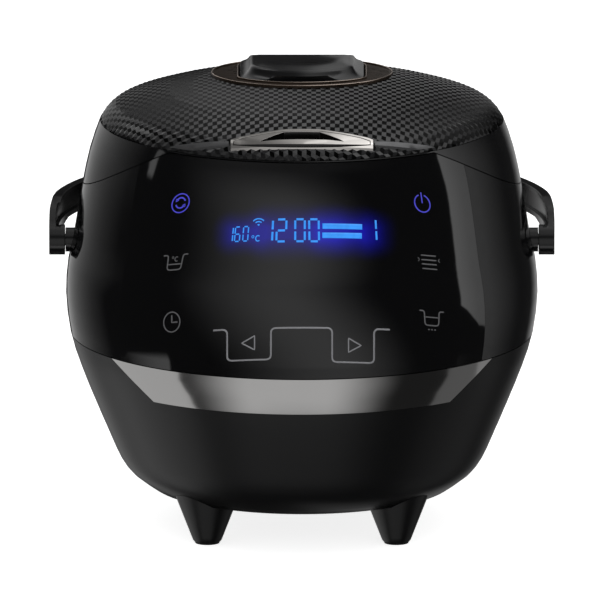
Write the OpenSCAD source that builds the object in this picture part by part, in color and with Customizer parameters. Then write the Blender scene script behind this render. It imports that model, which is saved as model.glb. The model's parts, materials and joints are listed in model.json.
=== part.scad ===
/* [Housing] */
// Radius of the belly, the widest ring of the housing
body_r = 140; // [116:0.5:170]
// Height of the feet, from the table to the base
foot_h = 25; // [20:0.5:30]
// Height from the base to the seam between the two housings
lower_h = 92.5; // [77:0.5:112]
// Height from the seam to the border of the lid
upper_h = 126.5; // [105:0.5:152]
// Rise of the lid above its border
dome_h = 25.5; // [21:0.5:31]
// Wall of the moulded housings
wall = 3; // [2.6:0.1:3.6]
// Gap between the housings where they part
part_gap = 0.6; // [0.5:0.1:0.8]
// Clearance of a piece that sits in another
fit = 0.2; // [0.15:0.05:0.25]
/* [Front] */
// Half the angle that the control panel spans
panel_a = 50.5; // [46:0.5:54]
// Half the angle at which the lid's side cuts reach its border
corner_a = 41; // [38:0.5:43]
// Half the width of the tinted band at the seam
band_w = 114; // [100:1:116]
// Height of the tinted band
band_h = 23; // [18:0.5:27]
// Thickness of the tinted band
band_t = 1.4; // [1.2:0.1:1.6]
/* [Pot] */
// Room between the inside of the pot and the belly, for the jacket around it
jacket = 36; // [35:0.5:40]
// Wall of the pot
pot_wall = 2; // [1.6:0.1:2.4]
// Outer radius of the corner between the pot's wall and its floor
pot_corner = 38; // [30:1:44]
// Room for the works between the base and the pot
works_h = 33; // [30:0.5:38]
// Gap around the pot inside its well
well_gap = 4; // [3:0.5:5]
/* [Lid] */
// Depth of the lid's sides under its border
lid_drop = 37; // [33:0.5:42]
// Thickness of the relief panel on the lid
panel_t = 1.8; // [1.5:0.1:2.2]
// Radius of the round opening for the steam valve
bezel_r = 54; // [48:0.5:56]
// Distance of the steam valve behind the middle of the lid
valve_y = 31; // [28:0.5:33]
// Half the width of the steam valve's cap
cap_w = 37; // [33:0.5:39]
// Height of the steam valve's cap above the top of the lid
cap_up = 7; // [5:0.5:9]
/* [Lid button] */
// Half the width of the button
key_w = 40; // [34:0.5:42]
// Travel of the button
key_travel = 3; // [2:0.5:3.5]
/* [Handle] */
// Height of the handle's pivots above the seam
pivot_up = 54; // [48:0.5:58]
// Radius of the handle's hubs
hub_r = 9; // [8:0.25:10]
// Thickness of the handle's strap
strap_t = 5.7; // [5:0.1:6.5]
// Width of the handle's strap
strap_w = 17; // [15:0.5:18]
/* [Feet] */
// Radius of a foot at the table
foot_r = 8.6; // [7.5:0.1:11]
// Half the angle of a foot's cone
foot_a = 20; // [14:0.5:21]
// Distance of a foot's axis inside the edge of the base
foot_in = 10.8; // [9:0.2:16]

/* [Hidden] */
$fn = 96;
far = 3 * body_r;
curve_steps = 2;

// Levels, from the table up
base_z = foot_h;
seam_z = base_z + lower_h;
rim_z = seam_z + upper_h;
top_z = rim_z + dome_h;
deck_z = rim_z - lid_drop;
pivot_z = seam_z + pivot_up;
pot_floor_z = base_z + works_h;
border_r = body_r - 20.1;

// The pot, its flange and the lid's plug, from the inside out
pot_r = body_r - jacket;
pot_out = pot_r + pot_wall;
flange_r = pot_out + 4.5;
plug_r = flange_r + 1.5;
flange_t = 2.2;
flange_z = deck_z - 1.2 - flange_t;
well_r = pot_out + well_gap;
well_t = 0.8;
plate_r = pot_out - pot_corner - 2;
foot_at = (body_r - 50 - foot_in) / sqrt(2);

// The side cuts of the lid are an arc that leaves the deck's level here and meets the border
sweep_y = 10;
sweep_l = sweep_y + (border_r + 1) * cos(corner_a);
sweep_r = (sweep_l * sweep_l + lid_drop * lid_drop) / (2 * lid_drop);

// ---- outline of the housing -------------------------------------------------------------

// A smooth curve through the points p, with n steps between each two
function curve(p, n) = concat(
  [for (i = [0 : len(p) - 2], k = [0 : n - 1])
    let (a = p[max(i - 1, 0)], b = p[i], c = p[i + 1], d = p[min(i + 2, len(p) - 1)], t = k / n)
    0.5 * (2 * b + (c - a) * t + (2 * a - 5 * b + 4 * c - d) * t * t
      + (3 * b - a - 3 * c + d) * t * t * t)],
  [p[len(p) - 1]]);

// Radius and height of the outline: how far it lies inside the belly, and the share of the
// height of its own section, which is the lower body, the upper shell or the dome
outline = curve(concat(
  [for (q = [[50, 0], [38.6, 0.09], [32, 0.184], [26.1, 0.325], [17.7, 0.54], [8.7, 0.785]])
    [body_r - q[0], base_z + lower_h * q[1]]],
  [for (q = [[2.6, 0], [0, 0.18], [1.3, 0.335], [4.7, 0.46], [9.7, 0.695], [14.3, 0.865]])
    [body_r - q[0], seam_z + upper_h * q[1]]],
  [for (q = [[1, 0], [0.968, 0.235], [0.934, 0.38], [0.875, 0.5], [0.667, 0.765],
      [0.4, 0.91], [0, 1]])
    [border_r * q[0], rim_z + dome_h * q[1]]]), curve_steps);

// The outline moved inwards by d, square to itself
function inset(d) = [for (i = [0 : len(outline) - 1])
  let (t = outline[min(i + 1, len(outline) - 1)] - outline[max(i - 1, 0)], m = norm(t))
  [outline[i][0] == 0 ? 0 : outline[i][0] - d * t[1] / m, outline[i][1] + d * t[0] / m]];

// Radius of the curve p at height z
function radius_at(p, z) = lookup(z, [for (q = p) [q[1], q[0]]]);

// The stretch of the curve p between two heights
function span(p, z0, z1) = let (hi = min(z1, p[len(p) - 1][1])) concat(
  [[radius_at(p, z0), z0]],
  [for (q = p) if (q[1] > z0 + 0.3 && q[1] < hi - 0.3) q],
  [[radius_at(p, hi), hi]]);

function backwards(p) = [for (i = [len(p) - 1 : -1 : 0]) p[i]];

function housing_r(z, d = 0) = radius_at(inset(d), z);

// A skin of the housing between two heights, from out to in under its surface
module skin(z0, z1, out = 0, in = wall) {
  rotate_extrude()
    polygon(concat(span(inset(out), z0, z1), backwards(span(inset(in), z0, z1))));
}

// All that lies inside the housing's surface, moved inwards by d
module filled(d, z0 = base_z) {
  rotate_extrude()
    polygon(concat([[0, z0]], span(inset(d), z0, top_z)));
}

// Everything between two angles either side of the front
module front_sector(a) {
  translate([0, 0, -1])
    linear_extrude(far)
      polygon([[0, 0], [far * sin(a), -far * cos(a)], [far * sin(a), -far],
        [-far * sin(a), -far], [-far * sin(a), -far * cos(a)]]);
}

// A box that is centred on X, between two depths and two heights
module block(w, y0, y1, z0, z1) {
  translate([-w / 2, y0, z0])
    cube([w, y1 - y0, z1 - z0]);
}

// A rod along X, centred on X = 0
module rod_x(r, w, y, z) {
  translate([0, y, z])
    rotate([0, 90, 0])
      cylinder(r = r, h = w, center = true);
}

// A rod along Y, from y0 to y1
module rod_y(r, x, z, y0, y1) {
  translate([x, y1, z])
    rotate([90, 0, 0])
      cylinder(r = r, h = y1 - y0);
}

// The space of the lid, grown by g: above its border, above the arc of its side cuts, above
// the deck behind them, and the round plug over the pot
module lid_space(g = 0) {
  block(2 * far, -far, far, rim_z - g, far);
  rod_x(sweep_r + g, 2 * far, sweep_y, deck_z + sweep_r, $fn = 180);
  block(2 * far, sweep_y, far, deck_z - g, far);
  translate([0, 0, deck_z - g])
    cylinder(r = plug_r + g, h = far);
}

// ---- base and feet ----------------------------------------------------------------------

pan_t = 3;
pan_r = housing_r(base_z, wall) - part_gap;
pad_r = foot_r - 1.4;
pad_show = 1;
pad_deep = 3.2;
screw_r = 1.9;
boss_r = 5.5;
foot_places = [[-1, -1], [1, -1], [-1, 1], [1, 1]];
inlet_z = base_z + 25;
inlet_w = 33;
inlet_h = 25;

module at_feet() {
  for (p = foot_places)
    translate([p[0] * foot_at, p[1] * foot_at, 0])
      children();
}

module base_pan() {
  color("dimgray")
    difference() {
      translate([0, 0, base_z])
        cylinder(r = pan_r, h = pan_t);
      for (ring = [0, 1], i = [0 : 11])
        rotate([0, 0, i * 30 + 15])
          translate([22 + ring * 17, -1.5, base_z - 1])
            cube([12, 3, pan_t + 2]);
      at_feet()
        cylinder(r = screw_r + fit, h = far);
    }
}

module lower_body() {
  flange_z0 = base_z + pan_t + fit;
  color("#1a1a1a")
    difference() {
      union() {
        skin(base_z, seam_z - part_gap);
        skin(seam_z - 6, seam_z + 3, wall / 2 + fit, wall);
        intersection() {
          filled(wall / 2);
          difference() {
            translate([0, 0, flange_z0])
              cylinder(r = body_r, h = 2.6);
            cylinder(r = foot_at * sqrt(2) - boss_r, h = far, center = true);
          }
        }
        intersection() {
          filled(wall / 2);
          at_feet()
            translate([0, 0, flange_z0])
              cylinder(r = boss_r, h = 14);
        }
      }
      band_place(band_t + fit, fit);
      block(inlet_w + 2 * fit, 0, far, inlet_z - inlet_h / 2 - fit, inlet_z + inlet_h / 2 + fit);
      at_feet()
        cylinder(r = screw_r + 0.05, h = flange_z0 + 15);
    }
}

// The place of the tinted band: its slanted ends are cut as seen from the front
module band_place(t, g) {
  intersection() {
    skin(seam_z - band_h - g, seam_z - part_gap + 1, -1, t);
    translate([0, -body_r / 4, 0])
      rotate([90, 0, 0])
        linear_extrude(far)
          polygon([[-band_w - g, seam_z + 1], [band_w + g, seam_z + 1],
            [band_w - 1.16 * band_h + g, seam_z - band_h - g],
            [1.16 * band_h - band_w - g, seam_z - band_h - g]]);
  }
}

module trim_band() {
  color("#6f6f6f")
    intersection() {
      band_place(band_t, 0);
      skin(base_z, seam_z - part_gap, 0, wall);
    }
}

module foot(p) {
  color("#161616")
    difference() {
      translate([p[0] * foot_at, p[1] * foot_at, 0])
        rotate_extrude()
          polygon([[0, pad_show], [foot_r - 0.8, pad_show], [foot_r, pad_show + 1],
            [foot_r + (foot_h + 12) * tan(foot_a), foot_h + 12], [0, foot_h + 12]]);
      filled(-0.1, base_z - 0.1);
      translate([p[0] * foot_at, p[1] * foot_at, 0]) {
        cylinder(r = pad_r + 0.1, h = 2 * pad_deep, center = true);
        cylinder(r = 4, h = 8);
        cylinder(r = screw_r + fit, h = far);
      }
    }
}

module foot_pads() {
  color("#2a2a2a")
    at_feet()
      cylinder(r = pad_r, h = pad_deep - 0.1);
}

module foot_screws() {
  color("silver")
    at_feet() {
      translate([0, 0, 5.5])
        cylinder(r = 3.6, h = 2.5);
      translate([0, 0, 7])
        cylinder(r = screw_r, h = base_z + pan_t + 10 - 7);
    }
}

// ---- upper shell and front --------------------------------------------------------------

hinge_y = body_r - 12;
hinge_z = deck_z + 6;
hinge_w = 78;
knuckle_r = 4.5;
ear_t = 14;
cup_w = 64;
cup_z0 = seam_z + 20;
cup_z1 = seam_z + 54;
cup_y = plug_r + 4;
seam_gap_a = fit / body_r * 180 / 3.1416;
ledge_a = panel_a - 4;
display_z = deck_z - 1.3;
board_y = plug_r + 5;
board_t = 1.6;
board_top = seam_z + 68;
board_w = 2 * sqrt(pow(housing_r(board_top, wall + 1.2), 2) - pow(board_y + board_t + 0.3, 2));
post_x = board_w / 2 - 7;
post_zs = [seam_z + 12, seam_z + 62];

// The ledge behind the edge of the control panel, and its root on the shell's wall
module panel_ledge() {
  intersection() {
    skin(seam_z + 4, rim_z - 3, wall + 0.1, 2 * wall - 0.6);
    difference() {
      front_sector(panel_a + 4);
      intersection() {
        front_sector(ledge_a);
        block(far, -far, 0, seam_z + 9, far);
      }
    }
  }
  intersection() {
    skin(seam_z + 4, rim_z - 3, wall - 1, 2 * wall - 0.6);
    difference() {
      front_sector(panel_a + 4);
      front_sector(panel_a + seam_gap_a);
    }
  }
}

module upper_shell() {
  color("#0c0c0c")
    difference() {
      union() {
        difference() {
          skin(seam_z, rim_z);
          front_sector(panel_a + seam_gap_a);
        }
        difference() {
          panel_ledge();
          lid_space(part_gap + deck_t + fit);
        }
        intersection() {
          filled(wall / 2);
          difference() {
            block(cup_w + 2 * fit + 4, cup_y - 2 - fit, far, cup_z0 - 2 - fit, cup_z1 + 2 + fit);
            block(cup_w + 2 * fit, cup_y - fit, far, cup_z0 - fit, cup_z1 + fit);
          }
        }
      }
      lid_space(part_gap);
      skin(seam_z - 1, seam_z + 3 + fit, wall / 2, 2 * wall);
      block(cup_w + 2 * fit, cup_y - fit, far, cup_z0 - fit, cup_z1 + fit);
      block(14, drip_y - 4, drip_y + 4, cup_z1, far);
      rod_x(5, far, 0, pivot_z);
      block(hinge_w + 2 * part_gap, hinge_y - 13, far, deck_z - 9, far);
    }
}

module control_panel() {
  color("#090909")
    difference() {
      union() {
        intersection() {
          difference() {
            skin(seam_z, rim_z);
            skin(seam_z - 1, seam_z + 3 + fit, wall / 2, 2 * wall);
          }
          front_sector(panel_a);
        }
        intersection() {
          filled(wall / 2);
          for (x = [-post_x, post_x], z = post_zs)
            rod_y(3, x, z, -far, -board_y - 2);
        }
      }
      lid_space(part_gap);
    }
}

module touch_film() {
  color("#3a3a3a")
    difference() {
      intersection() {
        skin(seam_z + 10, display_z - 16, wall + 0.1, wall + 0.7);
        front_sector(ledge_a - 1);
      }
      for (x = [-post_x, post_x], z = post_zs)
        rod_y(3.4, x, z, -far, 0);
    }
}

module display_module() {
  color("#20202a")
    difference() {
      intersection() {
        skin(display_z - 13.5, display_z + 13.5, wall + 0.1, wall + 6);
        block(104, -far, 0, 0, far);
      }
      intersection() {
        skin(display_z - 9, display_z + 9, wall + 2, wall + 20);
        block(94, -far, 0, 0, far);
      }
    }
}

module control_board() {
  color("#1d4d2a")
    difference() {
      block(board_w, -board_y - 0.3 - board_t, -board_y - 0.3, seam_z + 7, board_top);
      for (x = [-post_x, post_x], z = post_zs)
        rod_y(1.2, x, z, -far, 0);
    }
}

module control_chips() {
  color("#101010") {
    for (x = [-24, 8])
      translate([x, -board_y - 4.4, seam_z + 30])
        cube([14, 2.5, 14]);
    rod_y(6, 32, seam_z + 38, -board_y - 7, -board_y - 1.9);
    translate([-20, -board_y - 7, seam_z + 50])
      cube([34, 5.1, 7]);
  }
}

// ---- deck, well and heating -------------------------------------------------------------

deck_t = 2.4;
drip_y = cup_y + 5.5;
latch_z = rim_z - 18;
bolt_w = 16;
bolt_h = 5;

module deck() {
  color("#202020")
    difference() {
      union() {
        difference() {
          filled(wall + fit, deck_z - 12);
          lid_space(part_gap);
          difference() {
            translate([0, 0, -1])
              cylinder(r = far, h = far);
            lid_space(part_gap + deck_t);
          }
        }
        translate([0, 0, flange_z - 3])
          cylinder(r = flange_r + 3.4, h = deck_z - part_gap - flange_z + 2);
      }
      translate([0, 0, flange_z])
        cylinder(r = flange_r + 0.7, h = far);
      translate([0, 0, -1])
        cylinder(r = pot_out + 0.6, h = far);
      block(10, drip_y - 2.5, drip_y + 2.5, 0, far);
      block(bolt_w + 2, -plug_r - 9, -plug_r + 9, latch_z - 1.5, latch_z + bolt_h + 1.5);
      for (s = [-1, 1])
        translate([s * (hinge_w - ear_t) / 2, 0, 0])
          block(ear_t + 2 * fit, hinge_y - 12 - fit, far, 0, far);
    }
}

// The pot's outline from its floor up, moved out by d
function bowl(d, floor_r, z1) = concat(
  [[floor_r, pot_floor_z - d]],
  [for (a = [-90 : 15 : 0])
    [pot_out - pot_corner + (pot_corner + d) * cos(a),
      pot_floor_z + pot_corner + (pot_corner + d) * sin(a)]],
  [[pot_out + d, z1]]);

module well() {
  z1 = flange_z - 3 - fit;
  color("silver")
    rotate_extrude() {
      polygon(concat(bowl(well_gap + well_t, plate_r + 1, z1),
        backwards(bowl(well_gap, plate_r + 1, z1))));
      translate([well_r, z1 - well_t])
        square([flange_r + 3.2 - well_r, well_t]);
    }
}

module inner_pot() {
  color("#3a3a3a")
    rotate_extrude()
      polygon(concat([[0, pot_floor_z]], bowl(0, 10, flange_z),
        [[flange_r, flange_z], [flange_r, flange_z + flange_t]],
        backwards(bowl(-pot_wall, 10, flange_z + flange_t)), [[0, pot_floor_z + pot_wall]]));
}

module side_heater() {
  color("#7a4b3a")
    rotate_extrude()
      translate([well_r + well_t + 0.1, seam_z + 3])
        square([2.2, 35]);
}

plate_t = 7;
plate_z = pot_floor_z - fit - plate_t;
element_r = plate_r - 16;
tube_r = 3.3;

module heating_plate() {
  color("#b8b8b8")
    difference() {
      union() {
        translate([0, 0, plate_z])
          cylinder(r = plate_r, h = plate_t);
        for (a = [0, 120, 240])
          rotate([0, 0, a])
            translate([plate_r - 6, 0, base_z + pan_t + fit])
              cylinder(r = 4, h = works_h - plate_t);
      }
      cylinder(r = sensor_r + 3, h = far);
      rotate_extrude()
        translate([element_r, plate_z])
          circle(r = tube_r + fit);
    }
}

module heating_element() {
  color("#5a5a5a") {
    rotate_extrude()
      translate([element_r, plate_z])
        circle(r = tube_r);
    for (a = [75, 105])
      rotate([0, 0, a])
        translate([element_r, 0, plate_z - 14])
          cylinder(r = 2, h = 13);
  }
}

module thermal_fuse() {
  color("#c9b48a") {
    rod_x(2.2, 11, -element_r + 13, plate_z - 2.4);
    rod_x(0.6, 26, -element_r + 13, plate_z - 2.4);
  }
}

// The sprung cup that presses on the pot's floor and slides on its guide
sensor_r = 16;
sensor_travel = 2;
guide_r = 14.6;
guide_top = pot_floor_z - 8;
spring_wire = 0.8;

module sensor_cup() {
  color("#d0d0d0")
    difference() {
      translate([0, 0, guide_top - 5])
        cylinder(r = sensor_r, h = pot_floor_z - 0.1 - guide_top + 5);
      translate([0, 0, guide_top - 6])
        cylinder(r = sensor_r - 1, h = pot_floor_z - 1.1 - guide_top + 6);
    }
}

module sensor_guide() {
  color("#4a4a4a")
    difference() {
      union() {
        translate([0, 0, base_z + pan_t + fit])
          cylinder(r = 20, h = 1.8);
        translate([0, 0, base_z + pan_t + fit])
          cylinder(r = guide_r, h = guide_top - base_z - pan_t - fit);
      }
      translate([0, 0, base_z + pan_t + fit + 1.8])
        cylinder(r = guide_r - 1.4, h = far);
    }
}

// A round wire along the points p, with n sides
module wire(p, r, n = 8) {
  frames = [for (i = [0 : len(p) - 1])
    let (t = p[min(i + 1, len(p) - 1)] - p[max(i - 1, 0)], u = t / norm(t),
      s = cross(u, [u[1], -u[0], 0.3]), v = s / norm(s))
    [v, cross(u, v)]];
  rings = [for (i = [0 : len(p) - 1], k = [0 : n - 1])
    p[i] + r * (frames[i][0] * cos(360 * k / n) + frames[i][1] * sin(360 * k / n))];
  last = len(p) - 1;
  polyhedron(rings, concat(
    [for (i = [0 : last - 1], k = [0 : n - 1])
      [i * n + k, i * n + (k + 1) % n, (i + 1) * n + (k + 1) % n]],
    [for (i = [0 : last - 1], k = [0 : n - 1])
      [i * n + k, (i + 1) * n + (k + 1) % n, (i + 1) * n + k]],
    [[for (k = [n - 1 : -1 : 0]) k]],
    [[for (k = [0 : n - 1]) last * n + k]]));
}

// A compression spring from z0 to z1, its first and last turns closed
module spring(r, w, z0, z1, turns, steps = 12) {
  n = turns * steps;
  wire([for (i = [0 : n])
    let (a = 360 * i / steps, t = min(1, max(0, (i - steps) / (n - 2 * steps))))
    [r * cos(a), r * sin(a), z0 + w + min(1, i / steps) * w + t * (z1 - z0 - 4 * w)
      + max(0, (i - n + steps) / steps) * w]], w);
}

module sensor_spring() {
  color("#c0c0c0")
    spring(10, spring_wire, base_z + pan_t + fit + 2, pot_floor_z - 1.3, 6);
}

// ---- mains inlet and power board --------------------------------------------------------

inlet_face = housing_r(inlet_z - 8.4) - 0.5;
pin_places = [[-7, -1.5], [7, -1.5], [0, 3.5]];

module power_inlet() {
  color("#141414")
    difference() {
      union() {
        intersection() {
          filled(0.3);
          block(inlet_w, inlet_face - 3, far, inlet_z - inlet_h / 2, inlet_z + inlet_h / 2);
        }
        block(28, inlet_face - 16.6, inlet_face, inlet_z - 9.8, inlet_z + 9.8);
      }
      block(28, inlet_face, far, inlet_z - inlet_h / 2 + 2, inlet_z + inlet_h / 2 - 2);
      difference() {
        block(24.5, inlet_face - 15, far, inlet_z - 8.4, inlet_z + 8.4);
        for (s = [-1, 1])
          translate([s * 12.25, 0, inlet_z - 8.4])
            rotate([0, 45, 0])
              cube([7, far, 7], center = true);
      }
      for (p = pin_places)
        translate([p[0], 0, inlet_z + p[1]])
          block(2.2, inlet_face - 18, inlet_face, -2.1, 2.1);
    }
}

module inlet_pins() {
  color("gold")
    for (p = pin_places)
      translate([p[0], 0, inlet_z + p[1]])
        block(2, inlet_face - 20, inlet_face - 3, -2, 2);
}

pcb_z = base_z + pan_t + 4;
pcb_x0 = -plate_r - 2;
pcb_x1 = -sensor_r - 9;
pcb_y = 34;

module on_board(x, y) {
  translate([pcb_x0 + x, y, pcb_z + 1.6 + 0.1])
    children();
}

module power_board() {
  color("#2c5a2f") {
    translate([pcb_x0, -pcb_y, pcb_z])
      cube([pcb_x1 - pcb_x0, 2 * pcb_y, 1.6]);
    for (x = [pcb_x0 + 4, pcb_x1 - 4], y = [4 - pcb_y, pcb_y - 4])
      translate([x, y, base_z + pan_t + fit])
        cylinder(r = 3, h = 4);
  }
}

module relay() {
  color("#1b3f8a")
    on_board(2, -28)
      cube([15, 19, 12]);
}

module transformer() {
  color("#c8a23a") {
    on_board(2, 2)
      cube([20, 24, 9]);
    on_board(6, 6)
      cube([12, 16, 12]);
  }
}

module capacitors() {
  color("#222244") {
    on_board(27, -20)
      cylinder(r = 5, h = 12);
    on_board(27, -7)
      cylinder(r = 5, h = 12);
    on_board(30, 8)
      cylinder(r = 4, h = 10);
  }
}

// ---- rear: condensate cup, spout and hinge ----------------------------------------------

module condensate_cup() {
  color("#232323")
    difference() {
      union() {
        intersection() {
          filled(0);
          block(cup_w, cup_y, far, cup_z0, cup_z1);
        }
        intersection() {
          filled(-2);
          block(cup_w - 24, housing_r(cup_z1 - 8) - 8, far, cup_z1 - 9, cup_z1 - 6);
        }
      }
      intersection() {
        filled(2.2);
        block(cup_w - 4, cup_y + 2, far, cup_z0 + 2, far);
      }
    }
}

module drip_spout() {
  color("#2b2b2b")
    difference() {
      block(13, drip_y - 3.6, drip_y + 3.6, cup_z1 + 0.4, deck_z - part_gap - deck_t - fit);
      block(9, drip_y - 2, drip_y + 2, 0, far);
    }
}

module ear_outline() {
  translate([hinge_y, hinge_z])
    circle(r = knuckle_r);
  polygon([[hinge_y - 12, deck_z - 8], [hinge_y - 3, deck_z - 8], [hinge_y + knuckle_r, hinge_z],
    [hinge_y - 2, hinge_z + knuckle_r - 0.5], [hinge_y - 12, deck_z + 1]]);
}

// An outline in depth and height, drawn out along X
module along_x(w) {
  translate([-w / 2, 0, 0])
    rotate([90, 0, 90])
      linear_extrude(w)
        children();
}

module hinge_bracket() {
  color("#1c1c1c")
    difference() {
      union() {
        intersection() {
          filled(0);
          block(hinge_w, hinge_y - 12, far, deck_z - 9 + fit, deck_z - part_gap - deck_t - fit);
        }
        intersection() {
          skin(deck_z - 9 + fit, deck_z - part_gap);
          block(hinge_w, 0, far, 0, far);
        }
        for (s = [-1, 1])
          translate([s * (hinge_w - ear_t) / 2, 0, 0])
            along_x(ear_t)
              ear_outline();
      }
      block(14, 0, drip_y + 4, 0, far);
      rod_x(2.05, far, hinge_y, hinge_z);
    }
}

module hinge_pin() {
  color("silver")
    rod_x(2, hinge_w - 1, hinge_y, hinge_z);
}

// ---- handle -----------------------------------------------------------------------------

strap_r = body_r + 10;
stub_r = 3.5;

module handle_pivot(s) {
  color("#121212")
    mirror([s < 0 ? 1 : 0, 0, 0])
      translate([0, 0, pivot_z])
        rotate([0, 90, 0]) {
          difference() {
            translate([0, 0, body_r - 13])
              cylinder(r = hub_r - 1.8, h = 13.2);
            rotate([0, -90, 0])
              translate([0, 0, -pivot_z])
                filled(-0.1);
          }
          translate([0, 0, body_r - 13])
            cylinder(r = 4.8, h = 13);
          translate([0, 0, body_r - 13])
            cylinder(r = 7.5, h = 2.6);
          translate([0, 0, body_r - 13])
            cylinder(r = stub_r, h = 19.5);
        }
}

module carry_handle() {
  color("#111111")
    difference() {
      union() {
        intersection() {
          translate([0, 0, pivot_z - far / 2])
            difference() {
              cylinder(r = strap_r, h = far, $fn = 180);
              translate([0, 0, -1])
                cylinder(r = strap_r - strap_t, h = far + 2, $fn = 180);
            }
          along_x(2 * far)
            translate([0, pivot_z]) {
              circle(r = hub_r);
              polygon([[-2, hub_r - 1], [9, 5 + strap_w - 5], [24, 5 + strap_w - 0.8],
                [34, 5 + strap_w], [far, 5 + strap_w], [far, 5], [40, 5], [22, 1.5], [8, -4]]);
            }
        }
        intersection() {
          rod_x(hub_r, 2 * strap_r, 0, pivot_z);
          cylinder(r = strap_r, h = far, $fn = 180);
          difference() {
            block(far, -far, far, 0, far);
            block(2 * body_r + 1, -far, far, -1, far + 1);
          }
        }
      }
      rod_x(stub_r + 0.05, 2 * (body_r + 7), 0, pivot_z);
      translate([0, 0, pivot_z + 8])
        rotate_extrude()
          translate([strap_r - strap_t - 1, 0])
            square([2.6, strap_w - 6]);
    }
}

// ---- lid --------------------------------------------------------------------------------

liner_t = 2.4;
border_up = 0.6;
floor_z = deck_z + liner_t;
seat_floor = top_z - 12.5;
key_z = rim_z + 4;
key_back = border_r - 20.4;
key_end = border_r - 12.4;
key_front = border_r - 7.3;
post_at = [18, key_back + 3.5];
post_top = rim_z - 8;
stem_w = 10;
cam_run = 8;
cam_rise = 5;
stem_y = key_back + 7.5;
bolt_travel = key_travel * cam_run / cam_rise;
bolt_tip = plug_r + 5;
bolt_tail = key_back - 15.5;

key_top_w = 9.5;
key_tip = 2.2;
wing_deep = 1;

// The circle through both ends and the middle of the button's front edge, and the slope of the
// edges that run from its blunt tips back to its top
key_sag = key_front - key_end;
key_arc = (key_w * key_w + key_sag * key_sag) / (2 * key_sag);
key_slope = (key_end - key_tip - key_back) / (key_w - key_top_w);

// The button's outline from above, grown by m
function key_outline(m) =
  let (w = key_w + m, h = norm([1, key_slope]),
    tip = h * m - key_back - key_slope * (w - key_top_w),
    top_w = key_top_w + m * (h - 1) / key_slope)
  concat(
    [for (i = [-8 : 8])
      let (x = w * i / 8)
      [x, key_arc - key_front - sqrt((key_arc + m) * (key_arc + m) - x * x)]],
    [[w, tip], [top_w, m - key_back], [-top_w, m - key_back], [-w, tip]]);

module key_prism(m, z0 = 0) {
  translate([0, 0, z0])
    linear_extrude(far)
      polygon(key_outline(m));
}

module at_valve(z = 0) {
  translate([0, valve_y, z])
    children();
}

module hinge_notch() {
  block(hinge_w + 2 * part_gap, hinge_y - 13, far, 0, hinge_z + knuckle_r + 1.5);
}

module lid_cover() {
  color("#0a0a0a")
    difference() {
      intersection() {
        union() {
          skin(deck_z - 1, rim_z + border_up);
          skin(rim_z - 4, top_z, panel_t + fit, wall);
        }
        lid_space();
      }
      at_valve()
        cylinder(r = bezel_r - 3, h = far);
      key_prism(2.2);
      hinge_notch();
    }
}

module lid_panel() {
  color("#2e2e2e")
    difference() {
      skin(rim_z + border_up + fit, top_z, 0, panel_t);
      at_valve()
        cylinder(r = bezel_r + fit, h = far);
      key_prism(2);
      wing_place(wing_deep + 0.1, 0.1);
    }
}

// The two smooth bars that carry on the arc of the button's front edge to the lid's border,
// each deep mm into the relief panel and grown by g
module wing_place(deep, g) {
  intersection() {
    skin(rim_z + border_up + 2 - g, top_z, -0.3, deep);
    translate([0, key_arc - key_front, 0])
      difference() {
        cylinder(r = key_arc + g, h = far);
        cylinder(r = key_arc - key_tip - g, h = far);
      }
    difference() {
      block(far, -far, -key_back + 10, 0, far);
      block(2 * (key_w + 3 - g), -far, 0, 0, far);
    }
  }
}

module wing_trims() {
  color("#1c1c1c")
    wing_place(wing_deep, 0);
}

module lid_liner() {
  color("#d8d8d8")
    difference() {
      union() {
        difference() {
          intersection() {
            filled(wall + fit, deck_z - 5);
            lid_space();
          }
          lid_space(-liner_t);
        }
        for (s = [-1, 1])
          translate([s * post_at[0], -post_at[1], deck_z])
            cylinder(r = 4.5, h = post_top - deck_z);
        block(bolt_w + 7, -bolt_tail - 7, -bolt_tail - 1, deck_z, latch_z + bolt_h + 3);
        for (a = [45 : 90 : 315])
          rotate([0, 0, a])
            translate([40, 0, deck_z])
              cylinder(r = 4, h = 14);
        rod_x(knuckle_r, hinge_w - 2 * ear_t - 1, hinge_y, hinge_z);
        block(hinge_w - 2 * ear_t - 1, hinge_y - 20, hinge_y, deck_z, hinge_z + knuckle_r);
      }
      for (s = [-1, 1])
        translate([s * (hinge_w - ear_t) / 2, 0, 0])
          block(ear_t + 1, hinge_y - 13, far, 0, hinge_z + knuckle_r + 1.5);
      block(bolt_w + 2 * fit, -far, -bolt_tail + 6, latch_z - fit, latch_z + bolt_h + fit);
      at_valve()
        cylinder(r = 10.2, h = far);
      for (a = [45 : 90 : 315])
        rotate([0, 0, a])
          translate([40, 0, deck_z - 1])
            cylinder(r = 1.55, h = 13);
      rod_x(2.05, far, hinge_y, hinge_z);
    }
}

module lid_screws() {
  color("silver")
    for (a = [45 : 90 : 315])
      rotate([0, 0, a])
        translate([40, 0, deck_z - 1.7]) {
          cylinder(r = 3, h = 1.6);
          cylinder(r = 1.5, h = 12);
        }
}

module inner_lid_plate() {
  color("#c8c8c8")
    difference() {
      union() {
        translate([0, 0, deck_z - 3.4])
          cylinder(r = pot_r - 7.7, h = 1.2);
        translate([0, 0, deck_z - 3.4])
          cylinder(r = 11, h = 3.3);
      }
      at_valve()
        cylinder(r = 8, h = far);
      for (a = [0 : 45 : 315])
        rotate([0, 0, a])
          translate([60, 0, 0])
            cylinder(r = 2, h = far);
    }
}

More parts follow.
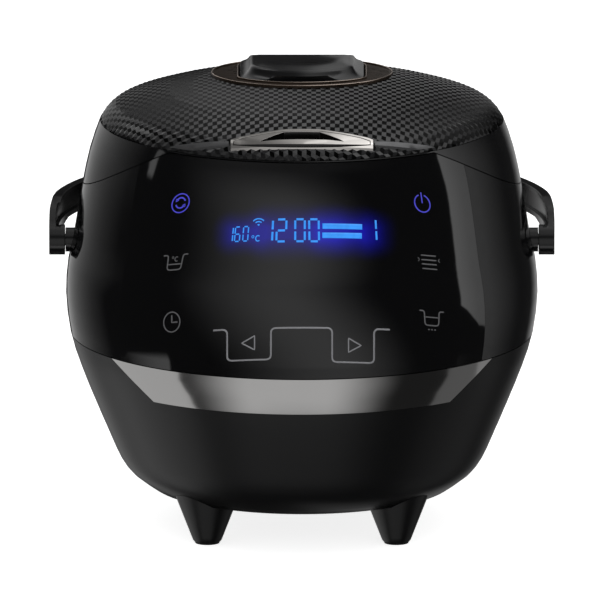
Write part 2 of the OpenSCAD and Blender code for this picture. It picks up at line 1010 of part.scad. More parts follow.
module pot_seal() {
  color("#e8e4dc")
    rotate_extrude()
      polygon([[pot_r - 13, deck_z - 0.1], [flange_r - 1, deck_z - 0.1],
        [flange_r - 1, deck_z - 0.9], [pot_r - 2, deck_z - 1], [pot_r - 3.5, deck_z - 6],
        [pot_r - 13, deck_z - 4.8], [pot_r - 13, deck_z - 3.6], [pot_r - 7.5, deck_z - 3.6],
        [pot_r - 7.5, deck_z - 2], [pot_r - 13, deck_z - 2]]);
}

module lid_heater() {
  color("#b87333")
    rotate_extrude()
      translate([50, floor_z + 0.1])
        square([plug_r - 28 - 50, 0.8]);
}

module valve_seat() {
  color("#bdbdbd")
    difference() {
      union() {
        intersection() {
          filled(panel_t + fit);
          at_valve(seat_floor - 2)
            cylinder(r = bezel_r - 6, h = far);
        }
        at_valve(deck_z - 2)
          cylinder(r = 10, h = seat_floor - deck_z);
        at_valve(deck_z - 2)
          cylinder(r = 14, h = 1.9);
      }
      at_valve(seat_floor)
        cylinder(r = bezel_r - 7.6, h = far);
      at_valve()
        cylinder(r = 7.5, h = far);
    }
}

module valve_bezel() {
  color("#3b2f26")
    difference() {
      union() {
        intersection() {
          skin(rim_z, top_z + 1, -0.1, panel_t);
          at_valve()
            cylinder(r = bezel_r, h = far);
        }
        intersection() {
          skin(rim_z, top_z + 1, -0.9, panel_t);
          union() {
            cap_prism(1.5);
            difference() {
              at_valve()
                cylinder(r = bezel_r, h = far);
              at_valve()
                cylinder(r = bezel_r - 1.3, h = far);
            }
          }
        }
      }
      cap_prism(0.5);
    }
}

cap_z = top_z + cap_up;
cap_r = bezel_r - 10;
cap_round = 4.5;
cap_front = valve_y - cap_r;
slot_deep = 9;

// The cap's outline from above, grown by m, as a tall prism
module cap_prism(m) {
  intersection() {
    at_valve(seat_floor + 0.6)
      cylinder(r = cap_r + m, h = far);
    block(2 * (cap_w + m), -far, far, 0, far);
  }
}

module steam_cap() {
  color("#101010")
    difference() {
      union() {
        intersection() {
          cap_prism(0);
          at_valve()
            rotate_extrude()
              polygon(concat([[0, 0], [cap_r, 0]],
                [for (a = [0 : 15 : 90])
                  [cap_r - cap_round * (1 - cos(a)), cap_z - cap_round * (1 - sin(a))]],
                [[0, cap_z]]));
          along_x(far)
            polygon([[-far, 0], [-far, cap_z], [valve_y + 5, cap_z],
              [valve_y + 12, cap_z - 0.8], [valve_y + cap_r, cap_z - 10], [far, 0]]);
          rotate([90, 0, 0])
            linear_extrude(2 * far, center = true)
              polygon([[-cap_w, 0], [cap_w, 0], [cap_w, cap_z - 3.5], [cap_w - 0.8, cap_z - 2.6],
                [cap_w - 4.4, cap_z - 0.3], [cap_w - 5.8, cap_z], [5.8 - cap_w, cap_z],
                [4.4 - cap_w, cap_z - 0.3], [0.8 - cap_w, cap_z - 2.6], [-cap_w, cap_z - 3.5]]);
        }
        at_valve(seat_floor - 9)
          cylinder(r = 6.4, h = 12);
      }
      at_valve(seat_floor)
        difference() {
          intersection() {
            cylinder(r = cap_r - 2.5, h = top_z - 5 - seat_floor);
            block(2 * cap_w - 5, -far, far, 0, far);
          }
          cylinder(r = 9, h = far);
        }
      at_valve()
        cylinder(r = 4.5, h = top_z - 2);
      intersection() {
        block(far, -far, cap_front + slot_deep, 0, far);
        rotate([90, 0, 0])
          linear_extrude(2 * far, center = true)
            polygon([[-30, top_z - 0.5], [30, top_z - 0.5], [24, top_z + 1.6], [17, cap_z - 2.6],
              [-17, cap_z - 2.6], [-24, top_z + 1.6]]);
      }
      for (v = [[-20.8, 23], [-16.1, 31]])
        block(v[1], valve_y + v[0], valve_y + v[0] + 1.1, top_z - 6, far);
    }
}

module valve_gasket() {
  color("#8a8a8a")
    at_valve(seat_floor - 6)
      difference() {
        cylinder(r = 7.3, h = 2.5);
        translate([0, 0, -1])
          cylinder(r = 6.5, h = 5);
      }
}

module button_frame() {
  color("#d0d0d0")
    difference() {
      intersection() {
        skin(rim_z + 2, top_z, -0.4, wall);
        key_prism(1.8);
      }
      key_prism(0.4);
    }
}

module lid_button() {
  color("#c4c4c4")
    difference() {
      union() {
        intersection() {
          filled(-0.2);
          difference() {
            key_prism(0, key_z);
            difference() {
              block(far, -far, 0, 0, key_z + 2.2);
              cylinder(r = plug_r - liner_t - 1, h = far);
            }
          }
        }
        along_x(stem_w)
          polygon([[-stem_y, key_z + 1], [1 - key_back - 0.5, key_z + 1],
            [cam_run - stem_y, latch_z + bolt_h + cam_rise], [-stem_y, latch_z + bolt_h]]);
      }
      translate([0, 0, key_z + 2])
        linear_extrude(far)
          polygon([[-24.5, 3.8 - key_front], [24.5, 3.8 - key_front], [10.5, -key_back - 1.2],
            [-10.5, -key_back - 1.2]]);
    }
}

module button_spring() {
  color("silver")
    for (s = [-1, 1])
      translate([s * post_at[0], -post_at[1], 0])
        spring(3, 0.5, post_top + 0.2, key_z - 0.2, 5);
}

module latch_bolt() {
  color("#e0e0e0")
    difference() {
      union() {
        block(bolt_w, -bolt_tip, -bolt_tail, latch_z, latch_z + bolt_h);
        along_x(stem_w)
          polygon([[0.3 - stem_y, latch_z + bolt_h - 0.1],
            [cam_run + 0.3 - stem_y, latch_z + bolt_h + cam_rise],
            [cam_run + 2.3 - stem_y, latch_z + bolt_h + cam_rise],
            [cam_run + 2.3 - stem_y, latch_z]]);
      }
      difference() {
        block(stem_w + 0.8, -bolt_tip + 4.2, -bolt_tail - 8, 0, latch_z + bolt_h);
        along_x(stem_w)
          polygon([[0.3 - stem_y, latch_z + bolt_h], [0.3 - stem_y + cam_run, far],
            [far, far], [far, latch_z]]);
      }
      along_x(far)
        polygon([[-bolt_tip - 1, latch_z - 1], [-bolt_tip + 3.5, latch_z - 1],
          [-bolt_tip - 1, latch_z + 3]]);
    }
}

module latch_keeper() {
  keeper_y = plug_r + part_gap + deck_t + 0.1;
  color("silver")
    difference() {
      block(bolt_w + 12, -keeper_y - 1.2, -keeper_y, latch_z - 5, latch_z + bolt_h + 5);
      block(bolt_w + 1.6, -far, 0, latch_z - 0.8, latch_z + bolt_h + 0.8);
    }
}

base_pan();
lower_body();
foot(foot_places[0]);  // foot_front_left
foot(foot_places[1]);  // foot_front_right
foot(foot_places[2]);  // foot_rear_left
foot(foot_places[3]);  // foot_rear_right
foot_pads();
foot_screws();
trim_band();
upper_shell();
control_panel();
touch_film();
display_module();
control_board();
control_chips();
deck();
well();
side_heater();
heating_plate();
heating_element();
thermal_fuse();
sensor_cup();
sensor_spring();
sensor_guide();
inner_pot();
power_inlet();
inlet_pins();
power_board();
relay();
transformer();
capacitors();
condensate_cup();
drip_spout();
hinge_bracket();
hinge_pin();
latch_keeper();
handle_pivot(-1);  // handle_pivot_left
handle_pivot(1);  // handle_pivot_right
carry_handle();
lid_cover();
lid_panel();
lid_liner();
inner_lid_plate();
pot_seal();
lid_heater();
valve_seat();
valve_bezel();
valve_gasket();
button_frame();
wing_trims();
lid_screws();
steam_cap();
lid_button();
button_spring();
latch_bolt();
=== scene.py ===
import json
import math

import bmesh
import bpy
from mathutils import Matrix, Vector

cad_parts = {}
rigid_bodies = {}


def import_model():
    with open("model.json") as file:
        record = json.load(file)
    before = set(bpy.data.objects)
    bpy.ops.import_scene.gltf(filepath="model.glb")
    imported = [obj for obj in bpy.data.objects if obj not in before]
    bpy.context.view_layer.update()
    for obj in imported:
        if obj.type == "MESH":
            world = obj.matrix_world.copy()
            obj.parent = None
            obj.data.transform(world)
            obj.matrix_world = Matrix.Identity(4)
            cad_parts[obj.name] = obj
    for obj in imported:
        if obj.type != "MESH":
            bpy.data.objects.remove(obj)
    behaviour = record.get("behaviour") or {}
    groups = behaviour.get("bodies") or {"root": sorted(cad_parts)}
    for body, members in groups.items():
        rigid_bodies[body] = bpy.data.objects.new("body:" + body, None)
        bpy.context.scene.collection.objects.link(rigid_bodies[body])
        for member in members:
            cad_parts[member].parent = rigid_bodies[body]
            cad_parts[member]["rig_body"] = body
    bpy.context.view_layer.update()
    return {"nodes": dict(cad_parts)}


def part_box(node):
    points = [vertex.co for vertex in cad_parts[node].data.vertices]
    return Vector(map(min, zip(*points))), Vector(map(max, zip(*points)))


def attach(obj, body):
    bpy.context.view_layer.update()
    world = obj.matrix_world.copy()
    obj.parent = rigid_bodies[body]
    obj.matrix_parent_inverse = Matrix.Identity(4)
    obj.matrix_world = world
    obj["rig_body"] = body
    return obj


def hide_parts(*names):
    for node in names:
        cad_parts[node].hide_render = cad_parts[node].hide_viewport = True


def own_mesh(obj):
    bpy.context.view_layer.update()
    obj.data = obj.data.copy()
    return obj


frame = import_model()

# ---- Camera -----------------------------------------------------------------------------
# A very long lens, 12.5 degrees above the level of the front, from so far off that
# parallel edges stay parallel. Much further off, the other views lose the object, since
# their camera sees no deeper than a hundred times the object's radius.
camera_up = math.radians(12.5)
camera_far = 12.0
field = 0.3563
aim = Vector((-0.0011, 0, 0.1347))

camera = bpy.data.objects.new("camera", bpy.data.cameras.new("camera"))
bpy.context.scene.collection.objects.link(camera)
bpy.context.scene.camera = camera
camera.data.sensor_width = 36
camera.data.lens = 36 * camera_far / field
camera.data.clip_start = 1
camera.data.clip_end = 100
camera.rotation_euler = (math.pi / 2 - camera_up, 0, 0)
camera.location = aim + camera_far * Vector((0, -math.cos(camera_up), math.sin(camera_up)))
bpy.context.scene.view_settings.view_transform = "Standard"


# ---- Studio -----------------------------------------------------------------------------
# White paper all round, a soft lamp overhead and a weak one in front. Gloss mirrors the same
# studio with its light boxes: a slanting one at the right with a hard front edge, one behind
# the left shoulder, a pale ceiling, and a dim reflector with its bright skirt in front.
def add(tree, kind, inputs=(), **settings):
    """Adds a node, makes its settings, and fills or links its inputs."""
    node = tree.nodes.new(kind)
    for name, value in settings.items():
        setattr(node, name, value)
    for name, value in dict(inputs).items():
        if isinstance(value, bpy.types.NodeSocket):
            tree.links.new(value, node.inputs[name])
        else:
            node.inputs[name].default_value = value
    return node


def linear(code):
    """The linear colour of an sRGB hex value such as 1a1a1a."""
    parts = [int(code[i:i + 2], 16) / 255 for i in (0, 2, 4)]
    return [p / 12.92 if p <= 0.04045 else ((p + 0.055) / 1.055) ** 2.4 for p in parts] + [1.0]


def ramp(tree, value, start, end, low=0.0, high=1.0, soft=True):
    """low up to start and high from end on."""
    return add(tree, "ShaderNodeMapRange", {"Value": value, "From Min": start, "From Max": end,
                                            "To Min": low, "To Max": high},
               interpolation_type="SMOOTHSTEP" if soft else "LINEAR").outputs[0]


def maths(tree, operation, *values):
    """One step of arithmetic."""
    return add(tree, "ShaderNodeMath", dict(enumerate(values)), operation=operation).outputs[0]


def product(tree, *values):
    """All the values multiplied."""
    total = values[0]
    for value in values[1:]:
        total = maths(tree, "MULTIPLY", total, value)
    return total


for name, place, size, radiance in (("top_box", (0.15, -0.3, 1.6), (1.3, 1.0), 1.7),
                                    ("front_box", (0.5, -2.4, 0.9), (1.4, 1.2), 0.8)):
    lamp = bpy.data.lights.new(name, "AREA")
    lamp.shape = "RECTANGLE"
    lamp.size, lamp.size_y = size
    lamp.energy = radiance * math.pi * size[0] * size[1]
    lamp_object = bpy.data.objects.new(name, lamp)
    bpy.context.scene.collection.objects.link(lamp_object)
    lamp_object.location = place
    turn = (Vector((0, 0, 0.2)) - Vector(place)).to_track_quat("-Z", "Y")
    lamp_object.rotation_euler = turn.to_euler()
    lamp_object.visible_camera = False
    lamp_object.visible_glossy = False

world = bpy.data.worlds.new("studio_air")
bpy.context.scene.world = world
world.use_nodes = True
tree = world.node_tree
way = add(tree, "ShaderNodeSeparateXYZ", {0: add(tree, "ShaderNodeTexCoord").outputs["Generated"]})
toward = maths(tree, "MULTIPLY", way.outputs["Y"], -1.0)
# degrees round to the right of the front, and degrees up
turn = maths(tree, "DEGREES", maths(tree, "ARCTAN2", way.outputs["X"], toward))
rise = maths(tree, "DEGREES", maths(tree, "ARCSINE", way.outputs["Z"]))
left_turn = maths(tree, "MULTIPLY", turn, -1.0)

right_edge = maths(tree, "SUBTRACT", turn, ramp(tree, rise, -22, -4, 108, 83.5, False))
right_box = product(
    tree, ramp(tree, right_edge, 0, 1.2), 1.15,
    maths(tree, "POWER", ramp(tree, turn, 84, 138, 1, 0, False), 2.0), ramp(tree, rise, -34, -28))
right_skirt = product(tree, ramp(tree, turn, 87, 89), ramp(tree, turn, 128, 140, 1, 0), 0.16,
                      ramp(tree, rise, -24, -28), ramp(tree, rise, -60, -50))
right_rim = product(tree, ramp(tree, turn, 150, 168), ramp(tree, turn, 174, 178, 1, 0), 0.35)
left_edge = maths(tree, "SUBTRACT", left_turn, ramp(tree, rise, -8, 6, 13, 0))
left_box = product(tree, ramp(tree, left_edge, 99, 163, 0, 0.62, False),
                   ramp(tree, left_turn, 165, 170, 1, 0), ramp(tree, rise, 60, 40),
                   ramp(tree, rise, -50, -30))
left_skirt = product(tree, ramp(tree, left_turn, 72, 73.5), ramp(tree, left_turn, 125, 140, 1, 0),
                     0.75, ramp(tree, rise, -23, -27), ramp(tree, rise, -60, -50))
leaf = product(tree, ramp(tree, left_turn, 88.5, 90), ramp(tree, left_turn, 93, 94.5, 1, 0), 0.8,
               ramp(tree, rise, 9, 12), ramp(tree, rise, 26, 23))
lean = maths(tree, "ADD", turn, maths(tree, "MULTIPLY", rise, 0.65))
reflector = product(tree, ramp(tree, lean, -66, -2), ramp(tree, lean, 0, 46, 1, 0), 0.5,
                    ramp(tree, rise, 36, 9), ramp(tree, rise, -36, -28))
skirt = product(tree, ramp(tree, turn, -71, -30, 0.05, 0.85), ramp(tree, turn, 14, 61, 1, 0),
                ramp(tree, left_turn, 73, 72), ramp(tree, rise, -34, -38),
                ramp(tree, rise, -66, -50))
ceiling = product(tree, ramp(tree, rise, 24, 62),
                  ramp(tree, way.outputs["X"], -0.2, 0.32, 0.12, 1.15))
lens = product(tree, ramp(tree, left_turn, 100, 118), ramp(tree, left_turn, 126, 144, 1, 0), 1.6,
               ramp(tree, rise, 42, 54), ramp(tree, rise, 72, 60))
mirrored = 0.025
for patch in (right_box, right_skirt, right_rim, left_box, left_skirt, leaf, reflector, skirt,
              ceiling, lens):
    mirrored = maths(tree, "ADD", mirrored, patch)
rays = add(tree, "ShaderNodeLightPath")
seen = maths(tree, "MAXIMUM", rays.outputs["Is Camera Ray"], rays.outputs["Is Transmission Ray"])
level = add(tree, "ShaderNodeMix", {"Factor": rays.outputs["Is Glossy Ray"], "A": 0.6,
                                    "B": mirrored})
strength = add(tree, "ShaderNodeMix", {"Factor": seen, "A": level.outputs[0], "B": 1.0})
tree.links.new(strength.outputs[0], tree.nodes["Background"].inputs["Strength"])
tree.nodes["Background"].inputs["Color"].default_value = (1, 1, 1, 1)

floor_form = bmesh.new()
bmesh.ops.create_circle(floor_form, cap_ends=True, segments=96, radius=9)
floor = bpy.data.objects.new("floor", bpy.data.meshes.new("floor"))
floor_form.to_mesh(floor.data)
bpy.context.scene.collection.objects.link(floor)

pale = bpy.data.materials.new("pale floor paint")
pale.use_nodes = True
tree = pale.node_tree
rays = add(tree, "ShaderNodeLightPath")
seen = maths(tree, "MAXIMUM", rays.outputs["Is Camera Ray"], rays.outputs["Is Transmission Ray"])
white = add(tree, "ShaderNodeEmission", {"Strength": maths(tree, "MULTIPLY", seen, 0.82)})
paint = add(tree, "ShaderNodeBsdfDiffuse", {"Color": linear("e6e6e6")})
lit_paint = add(tree, "ShaderNodeAddShader", {0: paint.outputs[0], 1: white.outputs[0]})
# gloss looks past the paper's surface at the studio under the horizon
shown = add(tree, "ShaderNodeMixShader", {0: rays.outputs["Is Glossy Ray"],
                                          1: lit_paint.outputs[0],
                                          2: add(tree, "ShaderNodeBsdfTransparent").outputs[0]})
tree.links.new(shown.outputs[0], tree.nodes["Material Output"].inputs["Surface"])
floor.data.materials.append(pale)


# ---- Lower body -------------------------------------------------------------------------
# One deep moulding in black ABS with a satin grain from a spark-eroded tool.
# It carries the base, the feet, the band and the mains inlet.
def material(name, colour, roughness, metallic=0.0):
    """A principled material, with the tree that its section then builds on."""
    made = bpy.data.materials.new(name)
    made.use_nodes = True
    shader = made.node_tree.nodes["Principled BSDF"]
    shader.inputs["Base Color"].default_value = linear(colour)
    shader.inputs["Roughness"].default_value = roughness
    shader.inputs["Metallic"].default_value = metallic
    return made, made.node_tree, shader


def grain(made, size, depth, detail=2.0):
    """A raised grain of that size and depth in metres, on the piece's own coordinates."""
    tree = made.node_tree
    shader = tree.nodes["Principled BSDF"]
    place = add(tree, "ShaderNodeTexCoord").outputs["Object"]
    noise = add(tree, "ShaderNodeTexNoise", {"Vector": place, "Scale": 1 / size, "Detail": detail})
    bump = add(tree, "ShaderNodeBump", {"Height": noise.outputs["Fac"], "Distance": depth,
                                        "Strength": 1.0})
    tree.links.new(bump.outputs[0], shader.inputs["Normal"])


def uneven(made, size, low, high):
    """A roughness that drifts between two values over that size, as handling leaves it."""
    tree = made.node_tree
    place = add(tree, "ShaderNodeTexCoord").outputs["Object"]
    noise = add(tree, "ShaderNodeTexNoise", {"Vector": place, "Scale": 1 / size, "Detail": 4.0})
    drift = add(tree, "ShaderNodeMapRange", {"Value": noise.outputs["Fac"], "From Min": 0.35,
                                             "From Max": 0.65, "To Min": low, "To Max": high})
    tree.links.new(drift.outputs[0], tree.nodes["Principled BSDF"].inputs["Roughness"])


def cast(node, name, sharp=30.0, flat=0.0, rounded=0.0):
    """The form of a node as one joined mesh, smooth but for its edges. It stands for the node.
    Faces within flat degrees are joined, and edges are rounded by that radius in metres."""
    form = bmesh.new()
    form.from_mesh(frame["nodes"][node].data)
    bmesh.ops.remove_doubles(form, verts=form.verts, dist=3e-6)
    if flat:
        bmesh.ops.dissolve_limit(form, angle_limit=math.radians(flat), verts=form.verts,
                                 edges=form.edges)
    for face in form.faces:
        face.smooth = True
    mesh = bpy.data.meshes.new(name)
    form.to_mesh(mesh)
    form.free()
    for layer in ("custom_normal", "UVMap"):
        if layer in mesh.attributes:
            mesh.attributes.remove(mesh.attributes[layer])
    mesh.set_sharp_from_angle(angle=math.radians(sharp))
    piece = bpy.data.objects.new(name, mesh)
    bpy.context.scene.collection.objects.link(piece)
    if rounded:
        edge = piece.modifiers.new("edges", "BEVEL")
        edge.width = rounded
        edge.segments = 2
        edge.limit_method = "ANGLE"
        edge.angle_limit = math.radians(sharp)
        edge.use_clamp_overlap = True
    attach(piece, frame["nodes"][node]["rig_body"])
    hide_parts(node)
    return piece


def wear(piece, made):
    """Puts a material on a piece."""
    piece.data.materials.clear()
    piece.data.materials.append(made)


satin_abs, tree, shader = material("satin moulded ABS", "0c0c0d", 0.32)
# fine spark-eroded grain, drawn at 0.5 mm so that it shows; a soft broad sheen is left
shader.inputs["Specular IOR Level"].default_value = 0.3
grain(satin_abs, 0.0005, 0.000012)

lower_body = cast("lower_body", "lower_body_moulding", sharp=35)
wear(lower_body, satin_abs)

# ---- Feet -------------------------------------------------------------------------------
# Four hollow cones of the same satin ABS, each held by a screw from below and standing on a
# pad of black rubber.
for corner in ("front_left", "front_right", "rear_left", "rear_right"):
    foot = cast("foot_" + corner, "foot_cone_" + corner, sharp=40)
    wear(foot, satin_abs)

pad_rubber = material("moulded rubber", "1b1b1b", 0.75)[0]
# matt, with a fine drawn-out pore
grain(pad_rubber, 0.0008, 0.00003)

# ---- Tinted band ------------------------------------------------------------------------
# A strip of smoked, metallised acrylic that is let into the lower body under the seam.
smoked_metal, tree, shader = material("smoked metallised acrylic", "a4a3a2", 0.09, 1.0)
# a dim mirror under clear gloss: it throws the floor back as a broad grey glow
uneven(smoked_metal, 0.02, 0.08, 0.12)
shader.inputs["Coat Weight"].default_value = 0.6
shader.inputs["Coat Roughness"].default_value = 0.03
band = cast("trim_band", "smoked_band", sharp=35)
wear(band, smoked_metal)

# ---- Upper shell and lid rim ------------------------------------------------------------
# The glossy mouldings round the sides and the lid's skirt: black ABS from a polished tool.
gloss_abs, tree, shader = material("high gloss ABS", "0a0a0b", 0.055)
# a wet black that mirrors the soft boxes, with the slight waviness of a thin moulded wall
shader.inputs["Specular IOR Level"].default_value = 0.5
grain(gloss_abs, 0.03, 0.00004, 0.0)

upper_shell = cast("upper_shell", "upper_moulding", sharp=35, flat=0.3, rounded=0.0004)
wear(upper_shell, gloss_abs)
lid_rim = cast("lid_cover", "lid_skirt", sharp=35, flat=0.3, rounded=0.0005)
wear(lid_rim, gloss_abs)

# ---- Control panel ----------------------------------------------------------------------
# A smoked acrylic front over the display and the touch film. The display's light spreads in
# it as a blue haze; the legends are printed on it or lit from behind.
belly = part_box("upper_shell")[1].x
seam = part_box("upper_shell")[0].z
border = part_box("lid_panel")[0].z - 0.0008
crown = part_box("steam_cap")[1].z - 0.007
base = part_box("base_pan")[0].z
border_r = belly - 0.0201


def smooth_line(points, steps):
    """A curve through the points, with steps between each two."""
    line = []
    for i in range(len(points) - 1):
        a, b = Vector(points[max(i - 1, 0)]), Vector(points[i])
        c, d = Vector(points[i + 1]), Vector(points[min(i + 2, len(points) - 1)])
        for k in range(steps):
            t = k / steps
            line.append(0.5 * (2 * b + (c - a) * t + (2 * a - 5 * b + 4 * c - d) * t * t
                               + (3 * b - a - 3 * c + d) * t ** 3))
    return line + [Vector(points[-1])]


# how far the outline lies inside the belly, in millimetres, at shares of each section's height
lower_line = [(50, 0), (38.6, 0.09), (32, 0.184), (26.1, 0.325), (17.7, 0.54), (8.7, 0.785)]
upper_line = [(2.6, 0), (0, 0.18), (1.3, 0.335), (4.7, 0.46), (9.7, 0.695), (14.3, 0.865)]
dome_line = [(1, 0), (0.968, 0.235), (0.934, 0.38), (0.875, 0.5), (0.667, 0.765), (0.4, 0.91),
             (0, 1)]
outline = smooth_line(
    [(belly - q / 1000, base + (seam - base) * h) for q, h in lower_line]
    + [(belly - q / 1000, seam + (border - seam) * h) for q, h in upper_line]
    + [(border_r * q, border + (crown - border) * h) for q, h in dome_line], 2)


def housing_r(z):
    """Radius of the housing at a height."""
    for low, high in zip(outline, outline[1:]):
        if low.y <= z <= high.y:
            return low.x + (high.x - low.x) * (z - low.y) / (high.y - low.y)
    return border_r


smoked_acrylic, tree, shader = material("smoked acrylic", "070708", 0.05)
# near black and very glossy; the haze is the display's light, widest along the figures
shader.inputs["Specular IOR Level"].default_value = 0.75
arch = 1.5  # how far a printed line falls towards the sides, per metre and metre off the middle
place = add(tree, "ShaderNodeSeparateXYZ", {0: add(tree, "ShaderNodeTexCoord").outputs["Object"]})
line_z = maths(tree, "ADD", place.outputs["Z"], product(tree, place.outputs["X"],
                                                        place.outputs["X"], arch))
figures_z = 0.2045
haze = 0.0
# middle, half width and half height of each lit group, how far its light spreads, its strength
for x, w, h, far, glow in ((-0.034, 0.007, 0.002, 0.014, 0.6), (-0.001, 0.020, 0.003, 0.017, 0.6),
                           (0.024, 0.012, 0.002, 0.016, 1.0), (0.0435, 0.001, 0.003, 0.014, 0.3)):
    past = []
    for at, middle, reach in ((place.outputs["X"], x, w), (line_z, figures_z, h)):
        off = maths(tree, "ABSOLUTE", maths(tree, "SUBTRACT", at, middle))
        past.append(maths(tree, "MAXIMUM", maths(tree, "SUBTRACT", off, reach), 0.0))
    away = maths(tree, "SQRT", maths(tree, "ADD", product(tree, past[0], past[0]),
                                     product(tree, past[1], past[1])))
    spread = product(tree, maths(tree, "POWER", ramp(tree, away, 0, far, 1, 0, False), 2.4), glow)
    haze = maths(tree, "ADD", haze, spread)
haze = product(tree, maths(tree, "MINIMUM", haze, 1.15), ramp(tree, place.outputs["Y"], -0.09,
                                                               -0.10))
shader.inputs["Emission Color"].default_value = linear("0e0e98")
tree.links.new(haze, shader.inputs["Emission Strength"])

panel = cast("control_panel", "smoked_front", sharp=35)
wear(panel, smoked_acrylic)


def ellipse(x, z, rx, rz, start=0, end=360, steps=28):
    """Points of an arc, in millimetres, counter-clockwise from the right."""
    turns = [math.radians(start + (end - start) * i / steps) for i in range(steps + 1)]
    return [(x + rx * math.cos(t), z + rz * math.sin(t)) for t in turns]


def round_corners(points, radius):
    """A broken line whose inner corners are rounded."""
    steps = 5
    line = [Vector(points[0])]
    for a, b, c in zip(points, points[1:], points[2:]):
        a, b, c = Vector(a), Vector(b), Vector(c)
        r = min(radius, (b - a).length / 2, (c - b).length / 2)
        p, q = b + (a - b).normalized() * r, b + (c - b).normalized() * r
        for i in range(steps + 1):
            t = i / steps
            line.append(p * (1 - t) ** 2 + b * 2 * t * (1 - t) + q * t * t)
    return line + [Vector(points[-1])]


ink_raised = 0.00004
ink_thick = 0.00003


def prints(name, strokes, made):
    """Flat printed strokes on the front. Each stroke is (points in mm, width in mm, closed).
    A line of constant height is laid along the arch that the whole legend follows."""
    drawing = bpy.data.curves.new(name, "CURVE")
    drawing.dimensions = "3D"
    drawing.bevel_depth = 1.0
    drawing.bevel_resolution = 1
    drawing.use_fill_caps = True
    for points, width, closed in strokes:
        points = [Vector(p) for p in points]
        if closed and (points[0] - points[-1]).length > 1e-6:
            points.append(points[0])
        line = [points[0]]
        for a, b in zip(points, points[1:]):
            parts = max(1, math.ceil((b - a).length / 1.2))
            line += [a.lerp(b, (i + 1) / parts) for i in range(parts)]
        points = line[:-1] if closed else line
        stroke = drawing.splines.new("POLY")
        stroke.points.add(len(points) - 1)
        stroke.use_cyclic_u = closed
        for spot, (x, z) in zip(stroke.points, points):
            spot.co = (x, 0, z, 1)
            spot.radius = width / 2
    drawn = bpy.data.objects.new(name, drawing)
    bpy.context.scene.collection.objects.link(drawn)
    bpy.context.view_layer.update()
    mesh = bpy.data.meshes.new_from_object(
        drawn.evaluated_get(bpy.context.evaluated_depsgraph_get()))
    bpy.data.objects.remove(drawn)
    form = bmesh.new()
    form.from_mesh(mesh)
    bmesh.ops.scale(form, vec=(0.001, ink_thick, 0.001), verts=form.verts)
    for v in form.verts:
        v.co.z -= arch * v.co.x ** 2
        r = housing_r(v.co.z)
        v.co.y = v.co.y - math.sqrt(r * r - v.co.x * v.co.x) - ink_raised
    bmesh.ops.remove_doubles(form, verts=form.verts, dist=1e-7)
    bmesh.ops.recalc_face_normals(form, faces=form.faces)
    form.to_mesh(mesh)
    form.free()
    piece = bpy.data.objects.new(name, mesh)
    bpy.context.scene.collection.objects.link(piece)
    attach(piece, "root")
    wear(piece, made)


def placed(strokes, x, z, lean=0.0):
    """Strokes drawn about the origin, put at a place and leant by so much for each mm up."""
    return [([(x + a + lean * b, z + b) for a, b in points], width, closed)
            for points, width, closed in strokes]


def lit_ink(name, colour, cloud):
    """A legend that is lit from behind the front. The light is a little cloudy, by that much,
    as its diffuser leaves it."""
    made, tree, shader = material(name, "050508", 0.3)
    shader.inputs["Emission Color"].default_value = linear(colour)
    place = add(tree, "ShaderNodeTexCoord").outputs["Object"]
    noise = add(tree, "ShaderNodeTexNoise", {"Vector": place, "Scale": 1 / 0.003})
    tree.links.new(ramp(tree, noise.outputs["Fac"], 0.3, 0.7, 1 - cloud, 1.0),
                   shader.inputs["Emission Strength"])
    return made


lit_blue = lit_ink("display segment light", "3a9bff", 0.12)
lit_violet = lit_ink("violet legend light", "4947cc", 0.2)
# screen-printed silver for the stepped line and its two arrows, thinner grey for the symbols:
# metal flake in a clear ink, with the tooth of a 0.3 mm screen
silver_ink = material("silver screen print", "a6a6aa", 0.35, 0.5)[0]
grain(silver_ink, 0.0003, 0.00001)
uneven(silver_ink, 0.004, 0.3, 0.42)
grey_ink = material("grey screen print", "606062", 0.5)[0]
grain(grey_ink, 0.0003, 0.00001)
uneven(grey_ink, 0.004, 0.42, 0.58)

segments = {  # ends of each bar of a figure, in shares of its width and height
    "a": ((0, 1), (1, 1)), "b": ((1, 1), (1, 0.5)), "c": ((1, 0.5), (1, 0)),
    "d": ((0, 0), (1, 0)), "e": ((0, 0.5), (0, 0)), "f": ((0, 1), (0, 0.5)),
    "g": ((0, 0.5), (1, 0.5))}
figures = {"0": "abcdef", "1": "bc", "2": "abged", "6": "acdefg"}


def figure(sign, wide, high, thick):
    """The bars of one figure of the display, about its own middle. Each bar stops short of
    the corners, so that a gap is left between two bars."""
    bars = []
    for bar in figures[sign]:
        (x0, z0), (x1, z1) = segments[bar]
        a = Vector(((x0 - 0.5) * wide, (z0 - 0.5) * high))
        b = Vector(((x1 - 0.5) * wide, (z1 - 0.5) * high))
        short = (b - a).normalized() * thick
        bars.append(([a + short * 0.5, b - short * 0.5], thick, False))
    return bars


